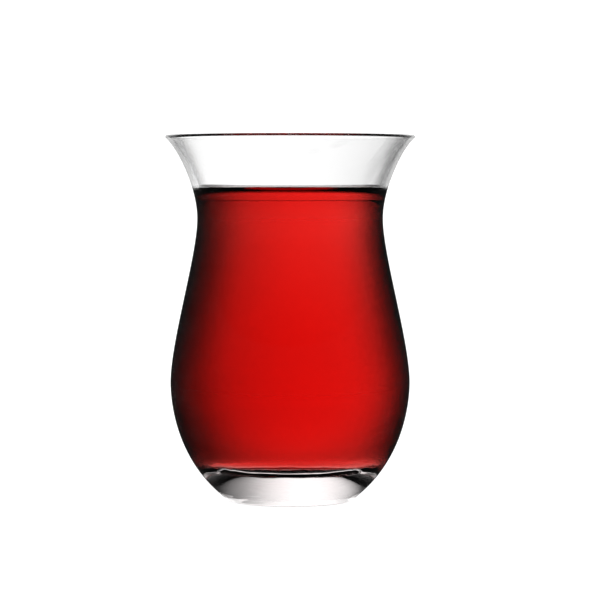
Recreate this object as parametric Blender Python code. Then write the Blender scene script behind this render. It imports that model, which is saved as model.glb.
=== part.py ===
"""A tulip-shaped glass of black tea, in metres, +Z up, standing on z = 0 with its axis on the Z axis.

Both pieces are turned: an outline of arcs and Bezier spans, worked out from the sizes below, is spun round Z.
"""

import math

import bmesh
import bpy
from mathutils import Vector
from mathutils.geometry import interpolate_bezier

# Outside of the glass: each bend is the radius that the outline is bent to at that height
GLASS_HEIGHT = 0.0900
RIM_RADIUS = 0.03065
RIM_FLARE = math.radians(54.0)
RIM_PULL = 0.0027
NECK_RADIUS = 0.0228
NECK_HEIGHT = 0.0696
NECK_BEND = 0.0185
BELLY_RADIUS = 0.0294
BELLY_HEIGHT = 0.0293
BELLY_BEND = 0.0234
FOOT_RADIUS = 0.0139
FOOT_ROUNDING = 0.0024
FOOT_SLOPE = math.radians(36.0)
FOOT_PULL = 0.0165

# Walls of the glass
LIP_THICKNESS = 0.0008
NECK_WALL = 0.0016
BELLY_WALL = 0.0018
BASE_THICKNESS = 0.0093
BOWL_SQUARENESS = 5.0
RECESS_RADIUS = 0.0125
RECESS_DEPTH = 0.00015

# The tea
TEA_GAP = 0.0003
TEA_LEVEL = 0.0760
MENISCUS_HEIGHT = 0.0014
MENISCUS_REACH = 0.0020

# Fineness of the turned meshes
TURN_STEPS = 48
SPAN_POINTS = 9
BOWL_POINTS = 14
LIP_POINTS = 7
FOOT_POINTS = 4
RECESS_POINTS = 3
MENISCUS_POINTS = 6
MERGE_DISTANCE = 1e-6


def place(radius, height):
    """A point of an outline, in the half plane that is spun."""
    return Vector((radius, 0.0, height))


def slanted(angle_from_axis):
    """A unit vector that leans outwards from the axis by that angle as it rises."""
    return place(math.sin(angle_from_axis), math.cos(angle_from_axis))


def span(start, start_pull, end, end_pull, points=SPAN_POINTS):
    """Points along a Bezier span from start to end, both included."""
    return interpolate_bezier(start, start + start_pull, end + end_pull, end, points)


def arc(centre, radius, from_angle, to_angle, points):
    """Points along an arc. Angles turn from outwards, 0, to upwards, 90 degrees."""
    found = []
    for step in range(points):
        angle = from_angle + (to_angle - from_angle) * step / (points - 1)
        found.append(centre + place(math.cos(angle), math.sin(angle)) * radius)
    return found


def joined(*stretches):
    """One outline from stretches that share their end points."""
    outline = list(stretches[0])
    for stretch in stretches[1:]:
        outline += stretch[1:]
    return outline


def underside_outline():
    """The shallow recess under the base, out to the flat ring that the glass stands on."""
    points = []
    for step in range(RECESS_POINTS):
        share = step / (RECESS_POINTS - 1)
        points.append(place(RECESS_RADIUS * share, RECESS_DEPTH * (1.0 - share**2)))
    points.append(place(FOOT_RADIUS, 0.0))
    return points


def lip_outline():
    """The round lip, from the outside over the top to the inside."""
    radius = LIP_THICKNESS / 2
    centre = place(RIM_RADIUS - radius, GLASS_HEIGHT - radius)
    return arc(centre, radius, -RIM_FLARE, math.pi - RIM_FLARE, LIP_POINTS)


def upright_pull(sideways, bend):
    """The upright pull that bends a span to that radius where it starts, if its far pull ends that far aside."""
    return place(0.0, math.sqrt(2.0 / 3.0 * sideways * bend))


def side_outline(lip, neck, neck_bend, belly, belly_bend):
    """One face of the wall, from the lip down past the neck to the belly, evenly bent at the neck."""
    rim_pull = -slanted(RIM_FLARE) * RIM_PULL
    upper = span(lip, rim_pull, neck, upright_pull(lip.x + rim_pull.x - neck.x, neck_bend))
    narrower = belly.x - neck.x
    middle = span(neck, -upright_pull(narrower, neck_bend), belly, upright_pull(narrower, belly_bend))
    return joined(upper, middle)


def outer_outline():
    """The outside, from the foot's flat ring up to the lip."""
    foot_centre = place(FOOT_RADIUS, FOOT_ROUNDING)
    quarter = math.pi / 2
    foot = arc(foot_centre, FOOT_ROUNDING, -quarter, FOOT_SLOPE - quarter, FOOT_POINTS)
    foot_pull = slanted(quarter - FOOT_SLOPE) * FOOT_PULL
    belly = place(BELLY_RADIUS, BELLY_HEIGHT)
    wider = belly.x - foot[-1].x - foot_pull.x
    lower = span(foot[-1], foot_pull, belly, -upright_pull(wider, BELLY_BEND))
    neck = place(NECK_RADIUS, NECK_HEIGHT)
    side = side_outline(lip_outline()[0], neck, NECK_BEND, belly, BELLY_BEND)
    return joined(foot, lower, side[::-1])


def inner_outline(inset=0.0):
    """The inside, from the lip down to the middle of the bowl's floor, taken in by the inset."""
    neck = place(NECK_RADIUS - NECK_WALL - inset, NECK_HEIGHT)
    belly = place(BELLY_RADIUS - BELLY_WALL - inset, BELLY_HEIGHT)
    side = side_outline(lip_outline()[-1], neck, NECK_BEND + NECK_WALL, belly, BELLY_BEND - BELLY_WALL)
    depth = BELLY_HEIGHT - BASE_THICKNESS - inset
    bowl = []
    for step in range(BOWL_POINTS - 1):
        angle = math.pi / 2 * step / (BOWL_POINTS - 1)
        bowl.append(place(belly.x * math.cos(angle) ** (2 / BOWL_SQUARENESS), belly.z - depth * math.sin(angle)))
    bowl.append(place(0.0, belly.z - depth))
    return joined(side, bowl)


def glass_outline():
    return joined(underside_outline(), outer_outline(), lip_outline(), inner_outline())


def radius_at(outline, height):
    """The outline's radius at a height that it crosses on its way down."""
    for above, below in zip(outline, outline[1:]):
        if below.z <= height <= above.z:
            share = (height - below.z) / (above.z - below.z)
            return below.x + (above.x - below.x) * share
    raise ValueError("the outline doesn't cross that height")


def tea_outline():
    """The tea: its wall a gap inside the glass, its surface flat and drawn up at the edge."""
    inside = inner_outline(TEA_GAP)
    top = TEA_LEVEL + MENISCUS_HEIGHT
    edge = place(radius_at(inside, top), top)
    below = [point for point in reversed(inside) if point.z < top]
    surface = []
    for step in range(1, MENISCUS_POINTS):
        inwards = 4.0 * MENISCUS_REACH * (step / (MENISCUS_POINTS - 1)) ** 1.5
        rise = MENISCUS_HEIGHT * math.exp(-inwards / MENISCUS_REACH)
        surface.append(place(edge.x - inwards, TEA_LEVEL + rise))
    return below + [edge] + surface + [place(0.0, TEA_LEVEL)]


def turned(name, outline, material):
    """A closed solid made by spinning an outline that starts and ends on the axis."""
    shape = bmesh.new()
    points = [shape.verts.new(point) for point in outline]
    edges = [shape.edges.new(pair) for pair in zip(points, points[1:])]
    bmesh.ops.spin(
        shape,
        geom=points + edges,
        cent=(0.0, 0.0, 0.0),
        axis=(0.0, 0.0, 1.0),
        angle=math.tau,
        steps=TURN_STEPS,
        use_merge=True,
    )
    bmesh.ops.remove_doubles(shape, verts=shape.verts, dist=MERGE_DISTANCE)
    bmesh.ops.recalc_face_normals(shape, faces=shape.faces)
    mesh = bpy.data.meshes.new(name)
    shape.to_mesh(mesh)
    shape.free()
    mesh.shade_smooth()
    mesh.materials.append(material)
    piece = bpy.data.objects.new(name, mesh)
    bpy.context.scene.collection.objects.link(piece)
    return piece


def clear_material(name, colour, roughness, refraction):
    material = bpy.data.materials.new(name)
    material.use_nodes = True
    surface = material.node_tree.nodes["Principled BSDF"]
    surface.inputs["Base Color"].default_value = (*colour, 1.0)
    surface.inputs["Roughness"].default_value = roughness
    surface.inputs["Metallic"].default_value = 0.0
    surface.inputs["IOR"].default_value = refraction
    surface.inputs["Transmission Weight"].default_value = 1.0
    return material


def main():
    for old in list(bpy.data.objects):
        bpy.data.objects.remove(old)
    glass_finish = clear_material("clear_glass", (1.0, 1.0, 1.0), 0.0, 1.5)
    tea_finish = clear_material("black_tea", (0.72, 0.02, 0.01), 0.0, 1.333)
    turned("glass", glass_outline(), glass_finish)
    turned("tea", tea_outline(), tea_finish)


main()
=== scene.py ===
"""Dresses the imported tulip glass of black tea: fine turned glass and tea, their finishes, camera and studio.

Both pieces are turned: an outline of arcs and Bezier spans, worked out from the sizes below, is spun round Z.
Lengths are in metres.
"""

import math

import bpy
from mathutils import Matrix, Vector
from mathutils.geometry import interpolate_bezier


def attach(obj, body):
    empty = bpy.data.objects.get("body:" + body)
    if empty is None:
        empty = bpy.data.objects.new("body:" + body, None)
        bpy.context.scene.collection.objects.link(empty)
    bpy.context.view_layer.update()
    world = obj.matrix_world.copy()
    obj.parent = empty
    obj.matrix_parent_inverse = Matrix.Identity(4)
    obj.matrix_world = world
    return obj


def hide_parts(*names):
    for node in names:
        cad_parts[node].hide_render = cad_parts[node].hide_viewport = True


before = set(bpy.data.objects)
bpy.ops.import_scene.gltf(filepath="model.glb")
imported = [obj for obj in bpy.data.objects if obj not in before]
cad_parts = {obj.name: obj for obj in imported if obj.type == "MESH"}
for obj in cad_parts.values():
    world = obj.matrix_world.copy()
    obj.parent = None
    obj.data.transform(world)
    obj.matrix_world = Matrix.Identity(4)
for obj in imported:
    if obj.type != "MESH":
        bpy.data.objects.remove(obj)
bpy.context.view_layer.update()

# Outside of the glass: each bend is the radius that the outline is bent to at that height
GLASS_HEIGHT = 0.0900
RIM_RADIUS = 0.03065
RIM_FLARE = math.radians(54.0)
RIM_PULL = 0.0027
NECK_RADIUS = 0.0228
NECK_HEIGHT = 0.0696
NECK_BEND = 0.0185
BELLY_RADIUS = 0.0294
BELLY_HEIGHT = 0.0293
BELLY_BEND = 0.0234
FOOT_RADIUS = 0.0139
FOOT_ROUNDING = 0.0024
FOOT_SLOPE = math.radians(36.0)
FOOT_PULL = 0.0165

# Walls of the glass
LIP_THICKNESS = 0.0008
NECK_WALL = 0.0016
BELLY_WALL = 0.0018
BASE_THICKNESS = 0.0093
BOWL_SQUARENESS = 5.0
RECESS_RADIUS = 0.0125
RECESS_DEPTH = 0.00015

# The tea: how far it bites into the wall, so that no gap shows, and how its surface is drawn up at the wall
TEA_BITE = 0.00008
TEA_LEVEL = 0.0760
MENISCUS_HEIGHT = 0.0014
MENISCUS_REACH = 0.0020
MENISCUS_WIDTH = 4.0 * MENISCUS_REACH
MENISCUS_CROWDING = 1.5

# Fineness of the turned meshes
TURN_STEPS = 192
SPAN_POINTS = 40
BOWL_POINTS = 80
LIP_POINTS = 17
FOOT_POINTS = 12
RECESS_POINTS = 10
MENISCUS_POINTS = 24
MERGE_DISTANCE = 1e-6

# Finishes: what the glass and the tea bend light by, and the tea's colour in depth
GLASS_REFRACTION = 1.5
TEA_REFRACTION = 1.333
TEA_COLOUR = (0.9175, 0.135, 0.090, 1.0)
TEA_DENSITY = 120.0

# A face looks up, as those of the bowl's floor do, where its normal rises by more than this
LOOKING_UP = 0.5

# Faint waves of the glass: so many to the metre and so high, on its dry faces and where the tea wets it
DRY_WAVES = 90.0
DRY_WAVE_HEIGHT = 0.000004
WETTED_WAVES = 260.0
WETTED_WAVE_HEIGHT = 0.00008
WAVE_DETAIL = 1.0
WAVE_ROUGHNESS = 0.4

# Painted shade on the wetted glass: how it darkens edge on, from no dark at one height to all of it at
# another, and the painted dark line at the brim
PAINTED_EDGE_SHADE = 85.0
EDGE_SHARPNESS = 2.92
EDGE_BOTTOM = 0.0105
EDGE_FULL = 0.0220
BRIM_SHADE_LIGHT = 0.25
BRIM_SHADE_FADE = 0.0002

# Painted light on the dry glass above the tea: how it turns clearer edge on, so the white behind lightens it,
# from one share of edge on to another
DRY_EDGE_FROM = 0.55
DRY_EDGE_TO = 0.85
PAINTED_EDGE_LIGHT = 0.65
DRY_FADE = 0.0020

# The camera: its lens and sensor are in millimetres
CAMERA_LENS = 189.7
CAMERA_SENSOR = 36.0
CAMERA_DISTANCE = 0.7664
CAMERA_HEIGHT = 0.07536
CAMERA_PITCH = math.radians(1.855)
CAMERA_SIDE = 0.00145

# The white of the studio, and its floor
WHITE = 1.25
FLOOR_SIZE = 6.0
FLOOR_DROP = 0.00005
FLOOR_PAINT = 0.20
FLOOR_ROUGHNESS = 0.9

# The studio's dark rings: a mat and wall for gloss alone, a ceiling, and a painted shadow under the foot
SURROUND_RADIUS = 0.50
SURROUND_GREY = 0.02
CEILING_BOTTOM = 0.19
CEILING_TOP = 1.0
MAT_HEIGHT = 0.0004
FOOT_SHADOW_HOLE = 0.0070
FOOT_SHADOW_DROP = 0.00003
FOOT_SHADOW_GREY = 0.03

# The low net round the foot, with a window each quarter turn and a gap halfway between two windows
LOW_NET_RADIUS = 0.055
LOW_NET_HEIGHT = 0.019
LOW_NET_DENSITY = 0.88
WINDOW_SPACING = math.tau / 4
WINDOW_TURN = math.radians(-1.0)
WINDOW_EDGE = math.radians(3.0)
WINDOW_DARK = math.radians(30.0)
GAP_EDGE = math.radians(32.0)
GAP_OPEN = math.radians(42.0)

# The side net far off, which dims one side of the white
SIDE_NET_INNER = 0.12
SIDE_NET_RADIUS = 0.45
SIDE_NET_FROM = math.radians(10.5)
SIDE_NET_TO = math.radians(70.0)
SIDE_NET_FADE = math.radians(15.5)
SIDE_NET_DENSITY = 0.64

# How many times light is followed through glass and tea
MOST_BOUNCES = 32
MOST_REFRACTIONS = 32
MOST_REFLECTIONS = 16
MOST_NET_GAPS = 64


# Outlines of the glass and the tea

def place(radius, height):
    """A point of an outline, in the half plane that is spun."""
    return Vector((radius, 0.0, height))


def slanted(angle_from_axis):
    """A unit vector that leans outwards from the axis by that angle as it rises."""
    return place(math.sin(angle_from_axis), math.cos(angle_from_axis))


def span(start, start_pull, end, end_pull):
    """Points along a Bezier span from start to end, both included."""
    return interpolate_bezier(start, start + start_pull, end + end_pull, end, SPAN_POINTS)


def arc(centre, radius, from_angle, to_angle, points):
    """Points along an arc. Angles turn from outwards, 0, to upwards, 90 degrees."""
    found = []
    for step in range(points):
        angle = from_angle + (to_angle - from_angle) * step / (points - 1)
        found.append(centre + place(math.cos(angle), math.sin(angle)) * radius)
    return found


def joined(*stretches):
    """One outline from stretches that share their end points."""
    outline = list(stretches[0])
    for stretch in stretches[1:]:
        outline += stretch[1:]
    return outline


def underside_outline():
    """The shallow recess under the base, out to the flat ring that the glass stands on."""
    points = []
    for step in range(RECESS_POINTS):
        share = step / (RECESS_POINTS - 1)
        points.append(place(RECESS_RADIUS * share, RECESS_DEPTH * (1.0 - share**2)))
    points.append(place(FOOT_RADIUS, 0.0))
    return points


def lip_outline():
    """The round lip, from the outside over the top to the inside."""
    radius = LIP_THICKNESS / 2
    centre = place(RIM_RADIUS - radius, GLASS_HEIGHT - radius)
    return arc(centre, radius, -RIM_FLARE, math.pi - RIM_FLARE, LIP_POINTS)


def upright_pull(sideways, bend):
    """The upright pull that bends a span to that radius where it starts.

    Sideways is how far aside of the start the span's far pull ends. Two thirds is true of any Bezier span.
    """
    return place(0.0, math.sqrt(2.0 / 3.0 * sideways * bend))


def side_outline(lip, neck, neck_bend, belly, belly_bend):
    """One face of the wall, from the lip down past the neck to the belly, evenly bent at the neck."""
    rim_pull = -slanted(RIM_FLARE) * RIM_PULL
    upper = span(lip, rim_pull, neck, upright_pull(lip.x + rim_pull.x - neck.x, neck_bend))
    narrower = belly.x - neck.x
    middle = span(neck, -upright_pull(narrower, neck_bend), belly, upright_pull(narrower, belly_bend))
    return joined(upper, middle)


def outer_outline():
    """The outside, from the foot's flat ring up to the lip."""
    foot_centre = place(FOOT_RADIUS, FOOT_ROUNDING)
    quarter = math.pi / 2
    foot = arc(foot_centre, FOOT_ROUNDING, -quarter, FOOT_SLOPE - quarter, FOOT_POINTS)
    foot_pull = slanted(quarter - FOOT_SLOPE) * FOOT_PULL
    belly = place(BELLY_RADIUS, BELLY_HEIGHT)
    wider = belly.x - foot[-1].x - foot_pull.x
    lower = span(foot[-1], foot_pull, belly, -upright_pull(wider, BELLY_BEND))
    neck = place(NECK_RADIUS, NECK_HEIGHT)
    side = side_outline(lip_outline()[0], neck, NECK_BEND, belly, BELLY_BEND)
    return joined(foot, lower, side[::-1])


def inner_outline(outset=0.0):
    """The inside, from the lip down to the middle of the bowl's floor, let out by the outset."""
    neck = place(NECK_RADIUS - NECK_WALL + outset, NECK_HEIGHT)
    belly = place(BELLY_RADIUS - BELLY_WALL + outset, BELLY_HEIGHT)
    side = side_outline(lip_outline()[-1], neck, NECK_BEND + NECK_WALL, belly, BELLY_BEND - BELLY_WALL)
    depth = BELLY_HEIGHT - BASE_THICKNESS + outset
    bowl = []
    for step in range(BOWL_POINTS - 1):
        angle = math.pi / 2 * step / (BOWL_POINTS - 1)
        radius = belly.x * math.cos(angle) ** (2 / BOWL_SQUARENESS)
        bowl.append(place(radius, belly.z - depth * math.sin(angle)))
    bowl.append(place(0.0, belly.z - depth))
    return joined(side, bowl)


def glass_outline():
    """The whole glass, from the middle of the underside round the outside and the lip to the bowl's floor."""
    return joined(underside_outline(), outer_outline(), lip_outline(), inner_outline())


def radius_at(outline, height):
    """The outline's radius at a height that it crosses on its way down."""
    for above, below in zip(outline, outline[1:]):
        if below.z <= height <= above.z:
            share = (height - below.z) / (above.z - below.z)
            return below.x + (above.x - below.x) * share
    raise ValueError("the outline doesn't cross that height")


def tea_outline():
    """The tea: its wall just into the glass, its surface flat and drawn up at the edge."""
    inside = inner_outline(TEA_BITE)
    top = TEA_LEVEL + MENISCUS_HEIGHT
    edge = place(radius_at(inside, top), top)
    below = [point for point in reversed(inside) if point.z < top]
    surface = []
    for step in range(1, MENISCUS_POINTS):
        inwards = MENISCUS_WIDTH * (step / (MENISCUS_POINTS - 1)) ** MENISCUS_CROWDING
        rise = MENISCUS_HEIGHT * math.exp(-inwards / MENISCUS_REACH)
        surface.append(place(edge.x - inwards, TEA_LEVEL + rise))
    return below + [edge] + surface + [place(0.0, TEA_LEVEL)]


def turned(name, outline, material):
    """A mesh made by spinning an outline once round, closed if the outline starts and ends on the axis."""
    bpy.ops.object.select_all(action="DESELECT")
    mesh = bpy.data.meshes.new(name)
    edges = [(index, index + 1) for index in range(len(outline) - 1)]
    mesh.from_pydata(outline, edges, [])
    piece = bpy.data.objects.new(name, mesh)
    bpy.context.scene.collection.objects.link(piece)
    bpy.context.view_layer.objects.active = piece
    piece.select_set(True)
    bpy.ops.object.mode_set(mode="EDIT")
    bpy.ops.mesh.select_all(action="SELECT")
    bpy.ops.mesh.spin(steps=TURN_STEPS, angle=math.tau, center=(0, 0, 0), axis=(0, 0, 1), use_auto_merge=True)
    bpy.ops.mesh.select_all(action="SELECT")
    bpy.ops.mesh.remove_doubles(threshold=MERGE_DISTANCE)
    bpy.ops.mesh.normals_make_consistent(inside=False)
    bpy.ops.object.mode_set(mode="OBJECT")
    bpy.ops.object.shade_smooth()
    mesh.materials.append(material)
    return piece


# Steps that the materials are built from

def reckoned(tree, operation, *terms):
    """One step of shader arithmetic; a term is a number or another node's output."""
    step = tree.nodes.new("ShaderNodeMath")
    step.operation = operation
    for term, socket in zip(terms, step.inputs):
        if isinstance(term, bpy.types.NodeSocket):
            tree.links.new(term, socket)
        else:
            socket.default_value = term
    return step.outputs["Value"]


def faded(tree, value, start, end, at_start=0.0, at_end=1.0):
    """A soft change from one level to another as a value goes from start to end."""
    fade = tree.nodes.new("ShaderNodeMapRange")
    fade.interpolation_type = "SMOOTHSTEP"
    tree.links.new(value, fade.inputs["Value"])
    fade.inputs["From Min"].default_value = start
    fade.inputs["From Max"].default_value = end
    fade.inputs["To Min"].default_value = at_start
    fade.inputs["To Max"].default_value = at_end
    return fade.outputs["Result"]


def object_parts(tree):
    """The place on the piece, in metres, as the outputs X, Y and Z."""
    coordinates = tree.nodes.new("ShaderNodeTexCoord")
    parts = tree.nodes.new("ShaderNodeSeparateXYZ")
    tree.links.new(coordinates.outputs["Object"], parts.inputs["Vector"])
    return parts.outputs


def clear_finish(name, refraction):
    """A clear, smooth material that bends light by that much, with its node tree and its shader."""
    material = bpy.data.materials.new(name)
    material.use_nodes = True
    tree = material.node_tree
    surface = tree.nodes["Principled BSDF"]
    surface.inputs["Base Color"].default_value = (1.0, 1.0, 1.0, 1.0)
    surface.inputs["Roughness"].default_value = 0.0
    surface.inputs["IOR"].default_value = refraction
    surface.inputs["Transmission Weight"].default_value = 1.0
    return material, tree, surface


def faint_waves():
    """The faint waves that pressed glass keeps, as heights, for both of the glass's finishes to share."""
    group = bpy.data.node_groups.new("faint_waves", "ShaderNodeTree")
    group.interface.new_socket("Waves per Metre", in_out="INPUT", socket_type="NodeSocketFloat")
    group.interface.new_socket("Height", in_out="OUTPUT", socket_type="NodeSocketFloat")
    entry = group.nodes.new("NodeGroupInput")
    result = group.nodes.new("NodeGroupOutput")
    place_on_piece = group.nodes.new("ShaderNodeTexCoord")
    swell = group.nodes.new("ShaderNodeTexNoise")
    swell.inputs["Detail"].default_value = WAVE_DETAIL
    swell.inputs["Roughness"].default_value = WAVE_ROUGHNESS
    group.links.new(place_on_piece.outputs["Object"], swell.inputs["Vector"])
    group.links.new(entry.outputs["Waves per Metre"], swell.inputs["Scale"])
    group.links.new(swell.outputs["Fac"], result.inputs["Height"])
    return group


def add_waves(tree, surface, group, per_metre, rise):
    """Lays the faint waves on a finish, so many to the metre and so high, and none at the foot."""
    waves = tree.nodes.new("ShaderNodeGroup")
    waves.node_tree = group
    waves.inputs["Waves per Metre"].default_value = per_metre
    above_foot = faded(tree, object_parts(tree)["Z"], FOOT_ROUNDING, BASE_THICKNESS)
    swell = tree.nodes.new("ShaderNodeBump")
    swell.inputs["Strength"].default_value = 1.0
    swell.inputs["Distance"].default_value = rise
    tree.links.new(reckoned(tree, "MULTIPLY", waves.outputs["Height"], above_foot), swell.inputs["Height"])
    tree.links.new(swell.outputs["Normal"], surface.inputs["Normal"])


# Finishes of the glass and the tea

def clear_glass(waves):
    """Clear glass. Above the tea it lets white through edge on, as painted light, as if light cards stood at
    both sides.
    """
    material, tree, surface = clear_finish("glass_clear", GLASS_REFRACTION)
    add_waves(tree, surface, waves, DRY_WAVES, DRY_WAVE_HEIGHT)
    # Painted light: edge on, the dry glass turns see-through, so the white behind lightens its edges.
    edge_on = tree.nodes.new("ShaderNodeLayerWeight").outputs["Facing"]
    edge = faded(tree, edge_on, DRY_EDGE_FROM, DRY_EDGE_TO)
    dry = faded(tree, object_parts(tree)["Z"], TEA_LEVEL, TEA_LEVEL + DRY_FADE, 0.0, -PAINTED_EDGE_LIGHT)
    tree.links.new(reckoned(tree, "MULTIPLY_ADD", edge, dry, 1.0), surface.inputs["Alpha"])
    return material


def wetted_glass(waves):
    """The inside of the glass where the tea wets it, which bends light as glass against tea does.

    Edge on it darkens with painted shade, as if dark cards stood at both sides, and above the tea's level a
    painted shade makes it a dark line.
    """
    material, tree, surface = clear_finish("glass_wetted", GLASS_REFRACTION / TEA_REFRACTION)
    surface.inputs["Specular Tint"].default_value = (0.0, 0.0, 0.0, 1.0)
    add_waves(tree, surface, waves, WETTED_WAVES, WETTED_WAVE_HEIGHT)
    height = object_parts(tree)["Z"]
    # Painted shade: edge on, the glass's tint darkens, more so higher up, as the dark sides of a room would
    # make it.
    edge_on = tree.nodes.new("ShaderNodeLayerWeight").outputs["Facing"]
    painted_shade_by_height = faded(tree, height, EDGE_BOTTOM, EDGE_FULL, 0.0, -PAINTED_EDGE_SHADE)
    painted_edge_shade = reckoned(tree, "MULTIPLY", reckoned(tree, "POWER", edge_on, EDGE_SHARPNESS), painted_shade_by_height)
    # Painted shade: a dark line is painted on the wetted glass at the tea's level and above it.
    line_start, line_end = TEA_LEVEL - BRIM_SHADE_FADE, TEA_LEVEL + BRIM_SHADE_FADE
    painted_brim_shade = faded(tree, height, line_start, line_end, 1.0, BRIM_SHADE_LIGHT)
    light = reckoned(tree, "MULTIPLY", reckoned(tree, "EXPONENT", painted_edge_shade), painted_brim_shade)
    tree.links.new(light, surface.inputs["Base Color"])
    return material


def black_tea():
    """Deep red tea: its open surface bends light, and its wall leaves that to the wetted glass round it."""
    material, tree, surface = clear_finish("tea_red", TEA_REFRACTION)
    open_surface = tree.nodes.new("ShaderNodeAttribute")
    open_surface.attribute_name = "open_surface"
    bend = reckoned(tree, "MULTIPLY_ADD", open_surface.outputs["Fac"], TEA_REFRACTION - 1.0, 1.0)
    tree.links.new(bend, surface.inputs["IOR"])
    depth = tree.nodes.new("ShaderNodeVolumeAbsorption")
    depth.inputs["Color"].default_value = TEA_COLOUR
    depth.inputs["Density"].default_value = TEA_DENSITY
    tree.links.new(depth.outputs["Volume"], tree.nodes["Material Output"].inputs["Volume"])
    return material


# The two pieces

def is_wetted(face):
    """Whether a face of the glass is on the inside, where it looks inwards or up, and under the tea."""
    looks_inwards = face.normal.x * face.center.x + face.normal.y * face.center.y < 0
    looks_up = face.normal.z > LOOKING_UP
    return (looks_inwards or looks_up) and BASE_THICKNESS / 2 < face.center.z < TEA_LEVEL + MENISCUS_HEIGHT


def fine_glass():
    """The glass, with the wetted part of its inside in a finish of its own."""
    waves = faint_waves()
    piece = turned("fine_glass", glass_outline(), clear_glass(waves))
    piece.data.materials.append(wetted_glass(waves))
    for face in piece.data.polygons:
        if is_wetted(face):
            face.material_index = 1
    return piece


def fine_tea():
    """The tea, with the faces of its open surface marked for its finish."""
    piece = turned("fine_tea", tea_outline(), black_tea())
    marks = piece.data.attributes.new("open_surface", "FLOAT", "FACE")
    for face, mark in zip(piece.data.polygons, marks.data):
        mark.value = float(face.center.z > TEA_LEVEL - TEA_BITE and face.normal.z > 0.0)
    return piece


# The camera and the studio

def camera():
    """The camera, far off on the -Y side, looking a little down."""
    data = bpy.data.cameras.new("camera")
    data.lens = CAMERA_LENS
    data.sensor_width = CAMERA_SENSOR
    holder = bpy.data.objects.new("camera", data)
    bpy.context.scene.collection.objects.link(holder)
    holder.location = (CAMERA_SIDE, -CAMERA_DISTANCE, CAMERA_HEIGHT)
    holder.rotation_euler = (math.pi / 2 - CAMERA_PITCH, 0.0, 0.0)
    bpy.context.scene.camera = holder


def bare_material(name):
    """A material with no finish yet, only the output that its shader goes to."""
    material = bpy.data.materials.new(name)
    material.use_nodes = True
    material.node_tree.nodes.clear()
    output = material.node_tree.nodes.new("ShaderNodeOutputMaterial")
    return material, output.inputs["Surface"]


def flat_shade(name, grey):
    """A surface of one even grey, whatever light falls on it."""
    material, surface = bare_material(name)
    shade = material.node_tree.nodes.new("ShaderNodeEmission")
    shade.inputs["Color"].default_value = (grey, grey, grey, 1.0)
    material.node_tree.links.new(shade.outputs["Emission"], surface)
    return material


def black_net(name, density):
    """A black net: density builds the share of the light that its threads take, from place to place."""
    material, surface = bare_material(name)
    tree = material.node_tree
    gaps = tree.nodes.new("ShaderNodeBsdfTransparent")
    threads = tree.nodes.new("ShaderNodeEmission")
    threads.inputs["Color"].default_value = (0.0, 0.0, 0.0, 1.0)
    weave = tree.nodes.new("ShaderNodeMixShader")
    tree.links.new(density(tree), weave.inputs["Fac"])
    tree.links.new(gaps.outputs["BSDF"], weave.inputs[1])
    tree.links.new(threads.outputs["Emission"], weave.inputs[2])
    tree.links.new(weave.outputs["Shader"], surface)
    return material


def bearing(tree):
    """The bearing round the axis, from +Y towards +X."""
    parts = object_parts(tree)
    return reckoned(tree, "ARCTAN2", parts["X"], parts["Y"])


def window_density(tree):
    """The low net: thin at its windows, which face the axes, and halfway between them, and dense elsewhere."""
    from_window = reckoned(tree, "SUBTRACT", bearing(tree), WINDOW_TURN)
    from_window = reckoned(tree, "PINGPONG", from_window, WINDOW_SPACING / 2)
    past_window = faded(tree, from_window, WINDOW_EDGE, WINDOW_DARK, 0.0, LOW_NET_DENSITY)
    before_gap = faded(tree, from_window, GAP_EDGE, GAP_OPEN, 1.0, 0.0)
    return reckoned(tree, "MULTIPLY", past_window, before_gap)


def side_density(tree):
    """The side net: dense between two bearings, and fading out past both."""
    turn = bearing(tree)
    nearer = faded(tree, turn, SIDE_NET_FROM - SIDE_NET_FADE, SIDE_NET_FROM + SIDE_NET_FADE)
    farther = faded(tree, turn, SIDE_NET_TO + SIDE_NET_FADE, SIDE_NET_TO)
    return reckoned(tree, "MULTIPLY", reckoned(tree, "MULTIPLY", nearer, farther), SIDE_NET_DENSITY)


def studio_ring(name, outline, material, in_gloss=True, in_refraction=True):
    """A ring of the studio that the glass mirrors or bends light from, but that isn't in the picture."""
    ring = turned(name, outline, material)
    bpy.ops.object.shade_flat()
    ring.visible_camera = False
    ring.visible_diffuse = False
    ring.visible_shadow = False
    ring.visible_glossy = in_gloss
    ring.visible_transmission = in_refraction


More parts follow.
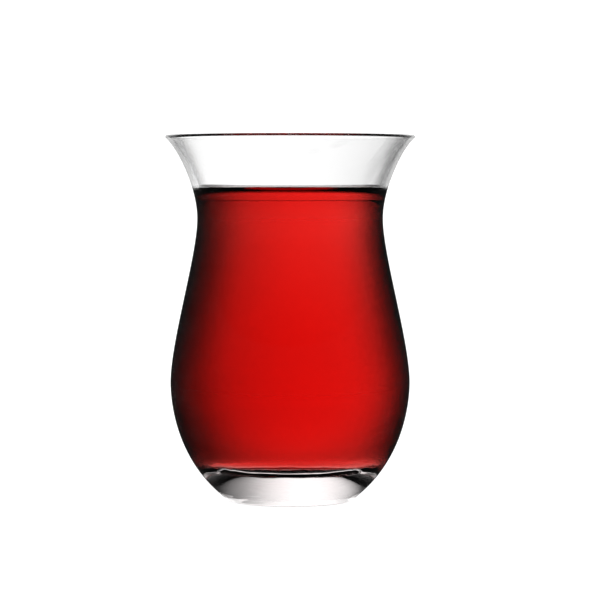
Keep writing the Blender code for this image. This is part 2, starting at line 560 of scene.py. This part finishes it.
def studio_rings():
    """The dark parts of the white room, which show only as the glass and the tea mirror or bend them."""
    ceiling = [
        place(SURROUND_RADIUS, CEILING_BOTTOM),
        place(SURROUND_RADIUS, CEILING_TOP),
        place(0.0, CEILING_TOP),
    ]
    studio_ring("ceiling", ceiling, flat_shade("ceiling_black", 0.0))
    surround = [
        place(FOOT_RADIUS + FOOT_ROUNDING, MAT_HEIGHT),
        place(SURROUND_RADIUS, MAT_HEIGHT),
        place(SURROUND_RADIUS, CEILING_BOTTOM),
    ]
    studio_ring("surround", surround, flat_shade("surround_grey", SURROUND_GREY), in_refraction=False)
    # Painted shadow: a dark ring under the foot, seen only through the glass, stands in for shade beneath it.
    mask = [place(FOOT_SHADOW_HOLE, -FOOT_SHADOW_DROP), place(FOOT_RADIUS, -FOOT_SHADOW_DROP)]
    studio_ring("painted_foot_shadow", mask, flat_shade("painted_foot_shadow_grey", FOOT_SHADOW_GREY))
    low_net = [place(LOW_NET_RADIUS, MAT_HEIGHT), place(LOW_NET_RADIUS, LOW_NET_HEIGHT)]
    studio_ring("low_net", low_net, black_net("low_net", window_density), in_gloss=False)
    side_net = [
        place(SIDE_NET_INNER, MAT_HEIGHT),
        place(SIDE_NET_RADIUS, MAT_HEIGHT),
        place(SIDE_NET_RADIUS, CEILING_BOTTOM),
    ]
    studio_ring("side_net", side_net, black_net("side_net", side_density), in_gloss=False)


def lit_floor():
    """The floor, a light table whose own light and paint together are as white as the room."""
    bpy.ops.object.select_all(action="DESELECT")
    bpy.ops.mesh.primitive_plane_add(size=FLOOR_SIZE, location=(0, 0, -FLOOR_DROP))
    bpy.ops.object.transform_apply()
    ground = bpy.context.object
    ground.name = "floor"
    material = bpy.data.materials.new("light_table")
    material.use_nodes = True
    surface = material.node_tree.nodes["Principled BSDF"]
    surface.inputs["Base Color"].default_value = (FLOOR_PAINT, FLOOR_PAINT, FLOOR_PAINT, 1.0)
    surface.inputs["Roughness"].default_value = FLOOR_ROUGHNESS
    surface.inputs["Specular IOR Level"].default_value = 0.0
    surface.inputs["Emission Color"].default_value = (1.0, 1.0, 1.0, 1.0)
    surface.inputs["Emission Strength"].default_value = WHITE * (1.0 - FLOOR_PAINT)
    ground.data.materials.append(material)


def white_room():
    """The white that is all round, shown without a film look, so that it stays white."""
    room = bpy.data.worlds.new("studio")
    bpy.context.scene.world = room
    room.use_nodes = True
    backdrop = room.node_tree.nodes["Background"]
    backdrop.inputs["Color"].default_value = (1.0, 1.0, 1.0, 1.0)
    backdrop.inputs["Strength"].default_value = WHITE
    bpy.context.scene.view_settings.view_transform = "Standard"


def light_paths():
    """Follows light far enough for all the walls of the glass and the tea that lie behind each other."""
    cycles = bpy.context.scene.cycles
    cycles.max_bounces = MOST_BOUNCES
    cycles.transmission_bounces = MOST_REFRACTIONS
    cycles.glossy_bounces = MOST_REFLECTIONS
    cycles.transparent_max_bounces = MOST_NET_GAPS


glass = fine_glass()
tea = fine_tea()
for piece, node, slot in ((glass, "glass", "clear_glass"), (tea, "tea", "black_tea")):
    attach(piece, "root")
    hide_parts(node)

camera()
white_room()
studio_rings()
lit_floor()
light_paths()
